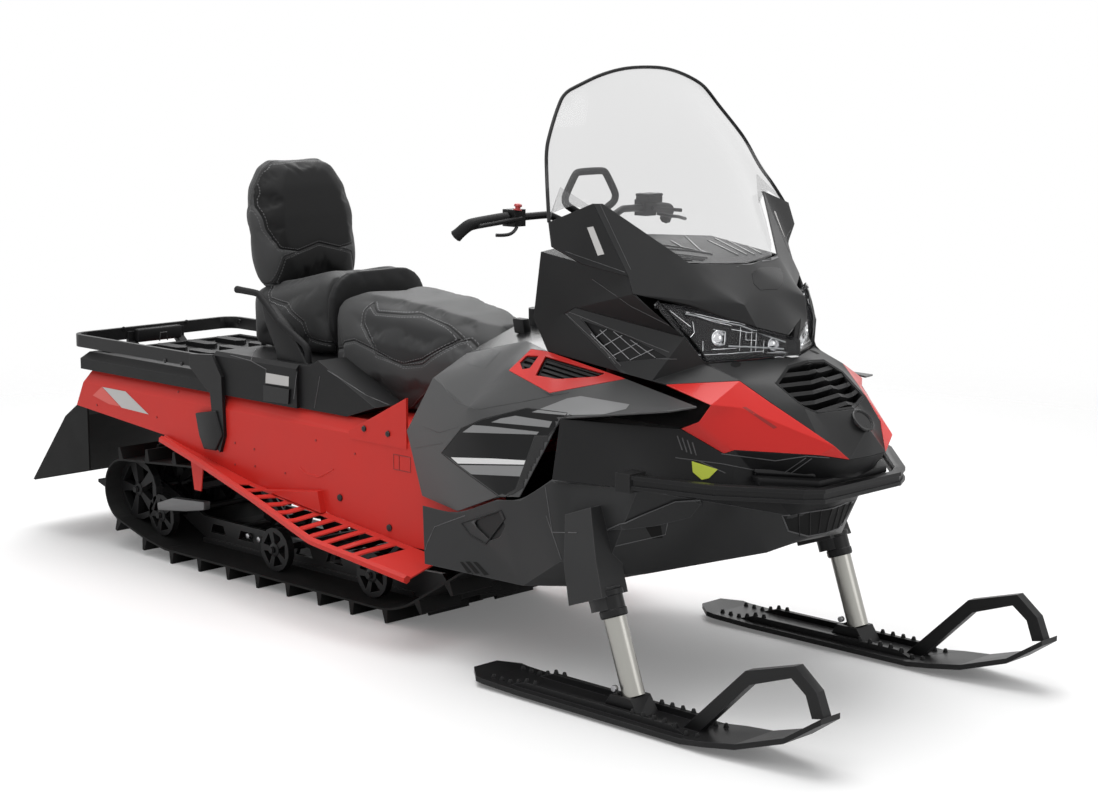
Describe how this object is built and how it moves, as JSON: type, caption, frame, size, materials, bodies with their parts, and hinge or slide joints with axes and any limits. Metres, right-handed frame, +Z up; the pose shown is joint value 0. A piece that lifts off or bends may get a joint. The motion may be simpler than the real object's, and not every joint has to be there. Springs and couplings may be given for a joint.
{
  "type": "snowmobile",
  "caption": "Two-seat utility snowmobile with steering skis in front, a wide rubber track under a rear cargo deck, a tall windshield and a passenger backrest.",
  "frame": {"origin": "on the ground under the middle of the machine's length and width", "axes": "+X forward along the skis, +Y to the rider's left, +Z up"},
  "size_m": [3.458, 1.064, 1.5622],
  "materials": {
    "red_paint": "satin",
    "red_plastic": "gloss",
    "grey_plastic": "satin",
    "black_plastic": "matt",
    "gloss_black": "gloss",
    "black_steel": "matt",
    "rubber": "matt",
    "seat_cover": "matt",
    "pad_black": "matt",
    "strut_metal": "satin",
    "rail_alloy": "satin",
    "wheel_plastic": "matt",
    "engine_metal": "matt",
    "clear_shield": "gloss",
    "lamp_lens": "gloss",
    "red_lens": "gloss",
    "amber_reflector": "gloss"
  },
  "bodies": {
    "chassis": {"track": "rubber", "skid_wheels": "wheel_plastic", "slide_rails": "rail_alloy", "drive_axle": "black_steel", "suspension": "black_steel", "tunnel": "red_paint", "running_boards": "red_paint", "rear_deck": "black_plastic", "cargo_rack": "black_steel", "tail_lamp": "red_lens", "hitch": "black_steel", "snow_flap": "rubber", "driver_seat": "seat_cover", "passenger_seat": "seat_cover", "seat_arch": "pad_black", "backrest": "pad_black", "seat_base": "black_plastic", "grab_handles": "black_steel", "hood": "grey_plastic", "grille": "black_plastic", "screens": "black_plastic", "fairing": "grey_plastic", "front_shell": "black_plastic", "tank_cover": "gloss_black", "side_panel_left": "grey_plastic", "side_panel_right": "grey_plastic", "hood_panels": "red_plastic", "shoulders": "grey_plastic", "headlamps": "lamp_lens", "wind_deflectors": "grey_plastic", "vent_frames": "red_plastic", "console_sides": "gloss_black", "dash": "black_plastic", "belly_pan": "grey_plastic", "windshield": "clear_shield", "front_bumper": "black_steel", "engine": "engine_metal", "fuel_cap": "black_plastic", "strut_housings": "grey_plastic", "reflectors": "amber_reflector"},
    "steering_bars": {"handlebar": "black_steel", "grips": "rubber", "grab_loop": "black_plastic", "controls": "black_plastic"},
    "left_ski": {"strut_left": "strut_metal", "ski_left": "black_plastic"},
    "right_ski": {"strut_right": "strut_metal", "ski_right": "black_plastic"}
  },
  "joints": [
    {"name": "steering", "type": "hinge", "parent": "chassis", "child": "steering_bars", "pos_m": [0.545, 0, 1.14], "axis": [-0.4226, 0, 0.9063], "range_deg": [-30, 30]},
    {"name": "left_ski_steer", "type": "hinge", "parent": "chassis", "child": "left_ski", "pos_m": [1.124, 0.45, 0.049], "axis": [-0.3355, 0, 0.9421], "range_deg": [-27, 27]},
    {"name": "right_ski_steer", "type": "hinge", "parent": "chassis", "child": "right_ski", "pos_m": [1.124, -0.45, 0.049], "axis": [-0.3355, 0, 0.9421], "range_deg": [-27, 27]}
  ],
  "couplings": [
    {"joint": "left_ski_steer", "follows": "steering", "ratio": 0.9},
    {"joint": "right_ski_steer", "follows": "steering", "ratio": 0.9}
  ]
}
